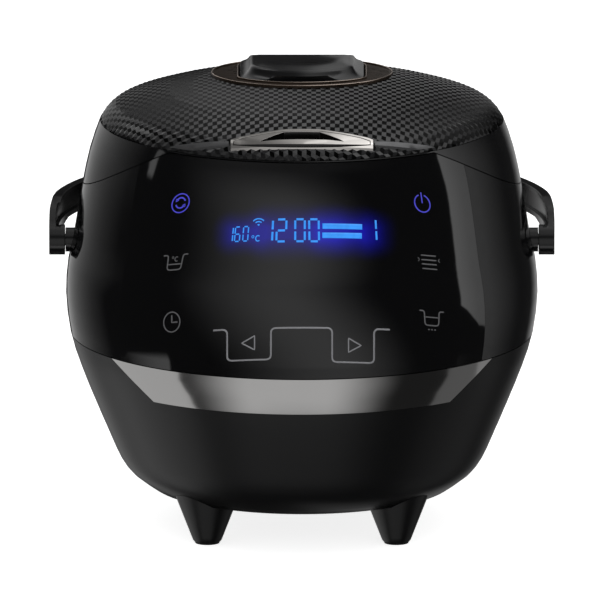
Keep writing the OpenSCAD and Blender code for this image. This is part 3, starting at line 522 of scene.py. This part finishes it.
strokes = []
for sign, x in (("1", -20.0), ("2", -12.0), ("0", -1.1), ("0", 7.15)):
    strokes += placed(figure(sign, 5.6, 12.7, 1.4), x, 205.5, -0.0025 * x)
for sign, x in (("1", -42.0), ("6", -37.8), ("0", -33.0)):
    strokes += placed(figure(sign, 2.9, 8.3, 0.85), x, 204.2, -0.0025 * x)
strokes += placed(figure("1", 5.6, 12.5, 1.25), 40.8, 206.9, -0.06)
strokes += [([(12.1, 208.0), (35.4, 208.3)], 3.6, False),
            ([(12.0, 202.7), (35.2, 203.1)], 3.7, False)]
degree = [(ellipse(-2.6, 1.0, 0.65, 0.7, steps=10), 0.45, True),
          (ellipse(0.4, 0, 1.35, 1.6, 48, 312, 10), 0.75, False)]
strokes += placed(degree, -26.2, 201.3, 0.05)
fan = [(ellipse(0, 0, r, r * 0.98, 90 - half, 90 + half, 8), wide, False)
       for r, half, wide in ((0.8, 38, 1.0), (2.7, 40, 0.8), (4.4, 46, 0.8))]
strokes += placed(fan, -25.4, 208.3)
prints("display_figures", strokes, lit_blue)

step = [(-52.1, 149.2), (-43.9, 149.2), (-43.9, 130.1), (-18.2, 130.1), (-18.2, 149.0),
        (17.8, 149.0), (17.8, 128.4), (42.4, 128.6), (42.4, 149.4), (51.7, 149.6)]
arrows = [([(-35.4, 140.6), (-27.8, 144.7), (-27.8, 136.2)], 0.9, True),
          ([(34.8, 139.1), (27.4, 143.3), (27.4, 134.7)], 0.9, True)]
prints("stepped_line", [(round_corners(step, 3.0), 1.2, False)] + arrows, silver_ink)

reheat = [(ellipse(0, 0, 5.05, 5.3), 0.75, True)]
for turn in (0, 180):
    reheat.append((ellipse(0, 0.2, 2.75, 2.9, turn + 20, turn + 140, 8), 0.95, False))
    t = math.radians(turn + 150)
    tip = Vector((2.75 * math.cos(t), 0.2 + 2.9 * math.sin(t)))
    on = Vector((-math.sin(t), math.cos(t)))
    side = Vector((on.y, -on.x))
    reheat.append(([tip + on * 0.75, tip - on * 0.55 + side * 0.8, tip - on * 0.55 - side * 0.8],
                   0.6, True))
power = [(ellipse(0, 0, 4.5, 4.9, 110, 430), 0.8, False), ([(0, 0.2), (0, 6.2)], 0.8, False)]
prints("lit_symbols", placed(reheat, -71.3, 224.2, 0.16) + placed(power, 70.8, 224.0, -0.15),
       lit_violet)


def pot_sign(level):
    """The outline of a pot with its level line."""
    brim = [(-7.2, 4.3), (-4.4, 4.3), (-4.0, -4.2), (4.0, -4.2), (4.4, 4.3), (7.2, 4.3)]
    return [(round_corners(brim, 1.9), 0.85, False),
            ([(-3.7, level), (3.7, level)], 0.8, False)]


warm_pot = pot_sign(-1.0) + [(ellipse(-1.5, 2.9, 0.5, 0.55, steps=8), 0.4, True),
                             (ellipse(0.7, 1.9, 0.95, 1.3, 45, 315, 8), 0.55, False)]
clock = [(ellipse(0, 0, 4.8, 5.9), 0.8, True), ([(0, 4.1), (0, -0.2), (3.4, -0.2)], 0.85, False)]
list_sign = [([(-4.4, z), (4.4, z)], 0.8, False) for z in (3.8, 1.25, -1.2, -3.8)]
list_sign += [([(s * 6.4, 2.3), (s * 5.5, 1.25), (s * 6.4, 0.2)], 0.45, False) for s in (-1, 1)]
recipe_pot = pot_sign(0.7) + [(ellipse(x, -6.7, 0.28, 0.28, steps=6), 0.5, True)
                              for x in (-1.8, 0.0, 1.8)]
quiet = (placed(warm_pot, -74.7, 190.4, 0.17) + placed(clock, -76.5, 156.1)
         + placed(list_sign, 74.8, 190.5, -0.11) + placed(recipe_pot, 76.4, 158.2, -0.02))
prints("printed_symbols", quiet, grey_ink)

# ---- Relief panel of the lid ------------------------------------------------------------
# A moulded film that covers the dome, embossed all over with small cubes seen from a corner.
cube_edge = 0.00323
cube_rise = 0.00042
relief_reach = 0.1275  # from the crown along the dome, just past the panel's border
relief_under = 0.00006  # the highest corners lie this far under the panel's own surface
relief_deep = 0.012


def dome_at(reach):
    """Radius and height of the dome at a distance along it from its crown, and its slope."""
    line = list(reversed(outline[-2 * (len(dome_line) - 1) - 1:]))
    gone = 0.0
    for a, b in zip(line, line[1:]):
        step_len = (b - a).length
        if reach <= gone + step_len or b is line[-1]:
            t = (reach - gone) / step_len
            way = (b - a) / step_len
            return a + (b - a) * t, Vector((-way.y, way.x))
        gone += step_len


relief_form = bmesh.new()
cubes = 92
bmesh.ops.create_grid(relief_form, x_segments=cubes, y_segments=cubes, size=cubes / 2)
kinds = {v: round(v.co.x - v.co.y) % 3 for v in relief_form.verts}
bmesh.ops.transform(relief_form, verts=relief_form.verts, matrix=Matrix(
    ((1, 0.5, 0, 0), (0, math.sqrt(3) / 2, 0, 0), (0, 0, 1, 0), (0, 0, 0, 1))))
bmesh.ops.transform(relief_form, verts=relief_form.verts,
                    matrix=Matrix.Rotation(math.radians(-30), 4, "Z") @ Matrix.Scale(cube_edge, 4))
for v in list(kinds):
    if v.co.length > relief_reach:
        del kinds[v]
far_out = [v for v in relief_form.verts if v.co.length > relief_reach]
bmesh.ops.delete(relief_form, geom=far_out, context="VERTS")
bmesh.ops.triangulate(relief_form, faces=relief_form.faces, quad_method="SHORT_EDGE")
for v in relief_form.verts:
    reach = v.co.length
    turn = math.atan2(v.co.y, v.co.x)
    spot, slope = dome_at(reach)
    if slope.y < 0:
        slope = -slope
    sunk = (2 - kinds[v]) * cube_rise + relief_under
    r, z = spot.x - slope.x * sunk, spot.y - slope.y * sunk
    v.co = (r * math.cos(turn), r * math.sin(turn), z)
relief_top = list(relief_form.faces)
for face in relief_top:
    high = next(v for v in face.verts if kinds[v] == 2)
    low = next(v for v in face.verts if kinds[v] == 0)
    fall = math.degrees(math.atan2(low.co.y - high.co.y, low.co.x - high.co.x))
    # the way a facet falls picks its set of painted light or painted shade
    face.material_index = round(fall / 120) % 3
deep = bmesh.ops.extrude_face_region(relief_form, geom=relief_top)
for v in (g for g in deep["geom"] if isinstance(g, bmesh.types.BMVert)):
    v.co.z -= relief_deep
bmesh.ops.recalc_face_normals(relief_form, faces=relief_form.faces)
relief_mesh = bpy.data.meshes.new("cube_relief")
relief_form.to_mesh(relief_mesh)
relief_form.free()
# each of the film's three sets of facets takes its own colour and gloss by the way it falls:
# painted light on the upper facets, painted shade on the left ones and deeper painted shade on the
# right ones; the gloss is softened by a fine haze
for tone, colour, gloss in (("upper", "1b1b1c", 0.62), ("left", "121213", 0.46),
                            ("right", "040404", 0.08)):
    facet_light_and_shade_film, tree, shader = material("embossed gloss film, " + tone + " facets", colour, 0.22)
    shader.inputs["Specular IOR Level"].default_value = gloss
    grain(facet_light_and_shade_film, 0.0006, 0.000008)
    relief_mesh.materials.append(facet_light_and_shade_film)
relief = bpy.data.objects.new("cube_relief", relief_mesh)
bpy.context.scene.collection.objects.link(relief)


def carve(piece, tool, operation):
    """Cuts or joins a piece with a tool, which is used up."""
    cut = piece.modifiers.new("cut", "BOOLEAN")
    cut.operation = operation
    cut.solver = "EXACT"
    cut.object = tool
    bpy.context.view_layer.update()
    mesh = bpy.data.meshes.new_from_object(
        piece.evaluated_get(bpy.context.evaluated_depsgraph_get()))
    piece.modifiers.clear()
    piece.data = mesh
    bpy.data.objects.remove(tool)


carve(relief, cast("lid_panel", "relief_blank"), "INTERSECT")
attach(relief, "lid")
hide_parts("lid_panel")

graphite = material("graphite paint", "5c5c5d", 0.34, 0.7)[0]
# soft grey metallic flake under a satin clear coat
grain(graphite, 0.0004, 0.000006)
uneven(graphite, 0.01, 0.3, 0.4)
wings = cast("wing_trims", "border_bars", sharp=35)
wear(wings, graphite)

# ---- Lid button and its frame -----------------------------------------------------------
# A zinc lever and a thin frame, both chrome plated. The hollow behind the bar and the lever's
# steep front and back faces carry a near-black painted shade.
chrome = material("bright chrome plate", "d8d4d0", 0.07, 1.0)[0]
# polished zinc under nickel and chrome: a hard, slightly warm mirror with faint polishing marks
uneven(chrome, 0.006, 0.05, 0.11)
grain(chrome, 0.012, 0.00002, 0.0)
lacquer = material("black painted recess shade", "060606", 0.22)[0]
# painted shade, near black, in the hollow and down the front edge, with a slight peeled bump
grain(lacquer, 0.0015, 0.00001)
uneven(lacquer, 0.008, 0.18, 0.3)


def tool_from(form, name):
    """An object from a finished form."""
    bmesh.ops.recalc_face_normals(form, faces=form.faces)
    mesh = bpy.data.meshes.new(name)
    form.to_mesh(mesh)
    form.free()
    made = bpy.data.objects.new(name, mesh)
    bpy.context.scene.collection.objects.link(made)
    return made


def bar_tool(outline_xz, y0, y1, name):
    """A prism along Y with that outline, in metres."""
    form = bmesh.new()
    face = form.faces.new([form.verts.new((x, y0, z)) for x, z in outline_xz])
    pushed = bmesh.ops.extrude_face_region(form, geom=[face])
    bmesh.ops.translate(form, vec=(0, y1 - y0, 0), verts=[
        v for v in pushed["geom"] if isinstance(v, bmesh.types.BMVert)])
    return tool_from(form, name)


button = cast("lid_button", "chrome_lever", sharp=28, flat=0.8, rounded=0.0003)
wear(button, chrome)
button.data.materials.append(lacquer)
lever_low, lever_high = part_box("lid_button")
# the hollow's floor and the steep front and back faces take the near-black painted shade
for face in button.data.polygons:
    steep = abs(face.normal.z) < 0.45
    floor_face = face.center.z < lever_high.z - 0.0065 and face.center.y > lever_low.y + 0.002
    if (steep and abs(face.normal.x) < 0.97) or floor_face:
        face.material_index = 1
button_ring = cast("button_frame", "chrome_frame", sharp=35)
frame_low, frame_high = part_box("button_frame")
groove, groove_front, groove_back = 0.0399, -0.120, -0.1056
groove_foot, groove_top = frame_low.z + 0.0057, frame_high.z + 0.002
carve(button_ring, bar_tool([(-groove, groove_foot), (groove, groove_foot),
                             (groove, groove_top), (-groove, groove_top)],
                            groove_front, groove_back, "shadow_groove"), "DIFFERENCE")
wear(button_ring, chrome)

# ---- Steam valve ------------------------------------------------------------------------
# A black cap that lifts out of a bronze-lacquered ring with two raised lips.
cap_abs = material("semi gloss ABS", "121213", 0.2)[0]
# softer than the shell, so its front catches the light as a broad grey streak
grain(cap_abs, 0.0007, 0.000004)
uneven(cap_abs, 0.012, 0.18, 0.22)

cap_low, cap_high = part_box("steam_cap")
cap_gap = 0.00015
cap_half = cap_high.x - cap_gap
cap_r = (cap_high.y - cap_low.y) / 2 - cap_gap
valve_y = (cap_high.y + cap_low.y) / 2
cap_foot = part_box("lid_panel")[1].z
cap_up = cap_high.z - cap_foot
cap_sunk = 0.0119  # how far its wall goes down into the ring
cap_shy = 0.00003  # kept under the full height
cap_sharp = math.radians(38)
corner_ease = 900  # the higher, the tighter the corners of its outline


def cap_ring(turn, inset):
    """Reach of the cap's outline at an angle: a circle with its two sides cut off, the corners
    eased, and all of it drawn in."""
    x, y = abs(math.cos(turn)), abs(math.sin(turn))
    side = (cap_half - inset) / max(x, 1e-6)
    near, far = math.exp(-side * corner_ease), math.exp(-(cap_r - inset) * corner_ease)
    return -math.log(near + far) / corner_ease


# the hollow slope that rises from the foot to the ridge, then the rounded edge of the top
cap_slope = [(0, -cap_sunk), (0, -0.0007), (0.0002, -0.0002), (0.0018, 0.0004), (0.0034, 0.0013),
             (0.0047, 0.0025), (0.0056, 0.0039), (0.0061, 0.0050), (0.0065, 0.0056),
             (0.0072, 0.0062), (0.0084, 0.0067), (0.0100, 0.00692), (0.0120, cap_up - cap_shy)]
cap_form = bmesh.new()
ring = bmesh.ops.create_circle(cap_form, radius=1, segments=144)["verts"]
turns = [math.atan2(v.co.y, v.co.x) for v in ring]
edges = list(cap_form.edges)
bmesh.ops.contextual_create(cap_form, geom=edges)
for step_no, (inset, high) in enumerate(cap_slope):
    if step_no:
        grown = bmesh.ops.extrude_edge_only(cap_form, edges=edges)["geom"]
        edges = [g for g in grown if isinstance(g, bmesh.types.BMEdge)]
        ring = [g for g in grown if isinstance(g, bmesh.types.BMVert)]
        turns = [math.atan2(v.co.y - valve_y, v.co.x) for v in ring]
    for v, turn in zip(ring, turns):
        reach = cap_ring(turn, inset)
        v.co = (reach * math.cos(turn), valve_y + reach * math.sin(turn), cap_foot + high)
bmesh.ops.contextual_create(cap_form, geom=edges)
# the back of the top falls away in three easy bends
for y, z, fall in ((0.002, 0.0, 0.12), (0.007, -0.0006, 0.3), (0.013, -0.0024, 0.252)):
    plane_at = Vector((0, valve_y + y, cap_high.z + z - cap_shy))
    cut = bmesh.ops.bisect_plane(
        cap_form, geom=cap_form.verts[:] + cap_form.edges[:] + cap_form.faces[:], dist=1e-7,
        plane_co=plane_at, plane_no=Vector((0, fall, 1)).normalized(), clear_outer=True)
    bmesh.ops.contextual_create(cap_form, geom=[g for g in cut["geom_cut"]
                                                if isinstance(g, bmesh.types.BMEdge)])
cap = tool_from(cap_form, "valve_cap")


def turned(points, name, steps=96):
    """A tool turned round the valve's axis from (radius, height) points."""
    form = bmesh.new()
    line = [form.verts.new((r, 0, z)) for r, z in points]
    loop = [form.edges.new((a, b)) for a, b in zip(line, line[1:] + line[:1])]
    bmesh.ops.spin(form, geom=line + loop, cent=(0, 0, 0), axis=(0, 0, 1),
                   angle=2 * math.pi, steps=steps, use_merge=True)
    bmesh.ops.remove_doubles(form, verts=form.verts, dist=1e-6)
    bmesh.ops.translate(form, vec=(0, valve_y, 0), verts=form.verts)
    return tool_from(form, name)


under = cap_foot - cap_sunk
carve(cap, turned([(0.009, under - 0.002), (0.0342, under - 0.002), (0.0342, cap_foot - 0.005),
                   (0.009, cap_foot - 0.005)], "steam_room"), "DIFFERENCE")
carve(cap, turned([(0.0045, cap_low.z), (0.0064, cap_low.z), (0.0064, cap_foot - 0.004),
                   (0.0045, cap_foot - 0.004)], "valve_stem", 48), "UNION")
mouth = [(-0.027, -0.0009), (0.027, -0.0009), (0.0235, 0.0005), (0.0205, 0.0021),
         (0.0172, 0.0031), (0.0135, 0.0034), (-0.0135, 0.0034), (-0.0172, 0.0031),
         (-0.0205, 0.0021), (-0.0235, 0.0005)]
carve(cap, bar_tool([(x, cap_foot + z) for x, z in mouth], cap_low.y - 0.003,
                    cap_low.y + 0.0085, "finger_slot"), "DIFFERENCE")
for y, half in ((-0.0208, 0.0097), (-0.0161, 0.0150)):
    carve(cap, bar_tool([(-half, cap_foot - 0.001), (half, cap_foot - 0.001),
                         (half, cap_high.z + 0.002), (-half, cap_high.z + 0.002)], valve_y + y,
                        valve_y + y + 0.0011, "steam_slit"), "DIFFERENCE")
cap_edges = cap.modifiers.new("edges", "BEVEL")
cap_edges.width = 0.00035
cap_edges.segments = 2
cap_edges.limit_method = "ANGLE"
cap_edges.angle_limit = cap_sharp
cap_edges.use_clamp_overlap = True
flat_from = 0.0002  # the broad faces of the top stay flat
for face in cap.data.polygons:
    face.use_smooth = face.area < flat_from
cap.data.set_sharp_from_angle(angle=cap_sharp)
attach(cap, "cap")
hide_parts("steam_cap")
wear(cap, cap_abs)

bronze = material("bronze metallic lacquer", "4e4238", 0.3, 0.85)[0]
# fine flakes in a warm brown lacquer
grain(bronze, 0.0005, 0.000006)
uneven(bronze, 0.006, 0.26, 0.36)
bezel = cast("valve_bezel", "bronze_ring", sharp=30)
wear(bezel, bronze)

rubbed_bronze = material("polished bronze lip", "d9c7ba", 0.2, 1.0)[0]
# the two lips are turned bright, so they draw a pink silver line round the ring
uneven(rubbed_bronze, 0.01, 0.16, 0.28)
bezel_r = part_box("valve_bezel")[1].x
above = 0.4  # clear of the top, where the search for the ring's surface starts
bpy.context.view_layer.update()
for name, reach, thick in (("outer_lip", lambda turn: bezel_r - 0.0005, 0.00028),
                           ("inner_lip", lambda turn: cap_ring(turn, -0.0014), 0.00022)):
    form = bmesh.new()
    section = bmesh.ops.create_circle(form, radius=thick, segments=8,
                                      matrix=Matrix.Rotation(math.pi / 2, 4, "X"))["verts"]
    bmesh.ops.translate(form, vec=(1, 0, 0), verts=section)
    bmesh.ops.spin(form, geom=form.verts[:] + form.edges[:], cent=(0, 0, 0), axis=(0, 0, 1),
                   angle=2 * math.pi, steps=144, use_merge=True)
    bmesh.ops.remove_doubles(form, verts=form.verts, dist=1e-6)
    for v in form.verts:
        turn = math.atan2(v.co.y, v.co.x)
        out = reach(turn) + math.hypot(v.co.x, v.co.y) - 1
        x, y = reach(turn) * math.cos(turn), valve_y + reach(turn) * math.sin(turn)
        spot = bezel.ray_cast(Vector((x, y, above)), Vector((0, 0, -1)))[1]
        v.co = (out * math.cos(turn), valve_y + out * math.sin(turn), spot.z + v.co.z)
    for face in form.faces:
        face.smooth = True
    lip = tool_from(form, "bezel_" + name)
    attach(lip, "lid")
    wear(lip, rubbed_bronze)

# ---- Carry handle -----------------------------------------------------------------------
# A bent strap with a hub at each end, moulded in black and hung on two fixed pivots.
handle_abs = material("handle ABS", "0d0d0e", 0.16)[0]
grain(handle_abs, 0.0008, 0.000004)
handle = cast("carry_handle", "bent_strap", sharp=32, flat=0.3, rounded=0.0006)
wear(handle, handle_abs)
for hand in ("left", "right"):
    pivot = cast("handle_pivot_" + hand, "pivot_boss_" + hand, sharp=32, flat=0.3)
    wear(pivot, handle_abs)

# ---- Rear: hinge, condensate cup and inlet ----------------------------------------------
# The hinge bracket is screwed to the shell; the cup slides out backwards from under it.
for node, name in (("hinge_bracket", "hinge_block"), ("condensate_cup", "drip_cup")):
    piece = cast(node, name, sharp=32, flat=0.3)
    wear(piece, satin_abs)

# ---- Works and inside -------------------------------------------------------------------
# What shows when the lid is open or from below, each in its own finish.
inner_pp = material("moulded polypropylene", "1c1c1d", 0.5)[0]
grain(inner_pp, 0.0006, 0.00002)
liner_pp = material("grey polypropylene", "8f8f90", 0.45)[0]
grain(liner_pp, 0.0006, 0.00001)
spun, tree, shader = material("spun aluminium", "c9c9cb", 0.3, 1.0)
# turning marks 0.4 mm apart run round the axis
place = add(tree, "ShaderNodeTexCoord").outputs["Object"]
marks = add(tree, "ShaderNodeTexWave", {"Vector": place, "Scale": 1 / 0.0004 / 20,
                                        "Distortion": 0.6, "Detail": 2.0},
            wave_type="RINGS", rings_direction="Z")
bump = add(tree, "ShaderNodeBump", {"Height": marks.outputs["Fac"], "Distance": 0.000006,
                                    "Strength": 1.0})
tree.links.new(bump.outputs[0], shader.inputs["Normal"])
uneven(spun, 0.015, 0.24, 0.36)
zinc = material("zinc plated steel", "b5b6b8", 0.35, 1.0)[0]
# a dull spangle, 3 mm across
uneven(zinc, 0.003, 0.28, 0.45)
grain(zinc, 0.0008, 0.000005)
coating, tree, shader = material("non-stick coating", "2c2c2d", 0.38)
# sprayed on in two coats: a fine orange peel with grey mica in it
mica = add(tree, "ShaderNodeTexNoise", {"Vector": add(tree, "ShaderNodeTexCoord")
                                        .outputs["Object"], "Scale": 1 / 0.0006, "Detail": 0.0})
fleck = ramp(tree, mica.outputs["Fac"], 0.66, 0.72)
mixed = add(tree, "ShaderNodeMix", {0: fleck, 6: linear("2c2c2d"), 7: linear("4c4c4e")},
            data_type="RGBA")
tree.links.new(mixed.outputs[2], shader.inputs["Base Color"])
grain(coating, 0.0011, 0.000012)
silicone = material("moulded silicone", "dcd7cd", 0.6)[0]
grain(silicone, 0.0005, 0.00001)
uneven(silicone, 0.01, 0.52, 0.66)
laminate = material("glass epoxy laminate", "1d5a32", 0.4)[0]
# the weave of the glass cloth, 0.5 mm, shows through the green mask
grain(laminate, 0.0005, 0.000006)
uneven(laminate, 0.006, 0.34, 0.46)
component = material("moulded component", "1b2a4a", 0.5)[0]
grain(component, 0.0005, 0.00001)
brass = material("plated brass", "d9b36a", 0.25, 1.0)[0]
uneven(brass, 0.004, 0.2, 0.34)
finishes = {
    "foot_pads": pad_rubber, "base_pan": inner_pp, "deck": inner_pp, "drip_spout": inner_pp,
    "power_inlet": inner_pp, "sensor_guide": inner_pp, "display_module": inner_pp,
    "lid_liner": liner_pp, "valve_seat": liner_pp, "latch_bolt": liner_pp,
    "inner_lid_plate": spun, "heating_plate": spun, "sensor_cup": spun,
    "well": zinc, "hinge_pin": zinc, "latch_keeper": zinc, "foot_screws": zinc,
    "lid_screws": zinc, "heating_element": zinc, "sensor_spring": zinc, "button_spring": zinc,
    "inner_pot": coating, "pot_seal": silicone, "valve_gasket": silicone,
    "side_heater": silicone, "control_board": laminate, "power_board": laminate,
    "touch_film": laminate, "control_chips": component, "relay": component,
    "transformer": component, "capacitors": component, "thermal_fuse": component,
    "lid_heater": brass, "inlet_pins": brass}
for node, finish in finishes.items():
    frame["nodes"][node].material_slots[0].material = finish

# Coil springs wound from steel wire. Each stands on a fixed seat, and the travel of the
# button or of the sensor squeezes it.
for spring, joint, seat, length, travel in (
        ("button_spring", "button_press", 0.23622, 0.01156, 0.003),
        ("sensor_spring", "sensor_press", 0.03023, 0.02644, 0.002)):
    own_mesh(frame["nodes"][spring])
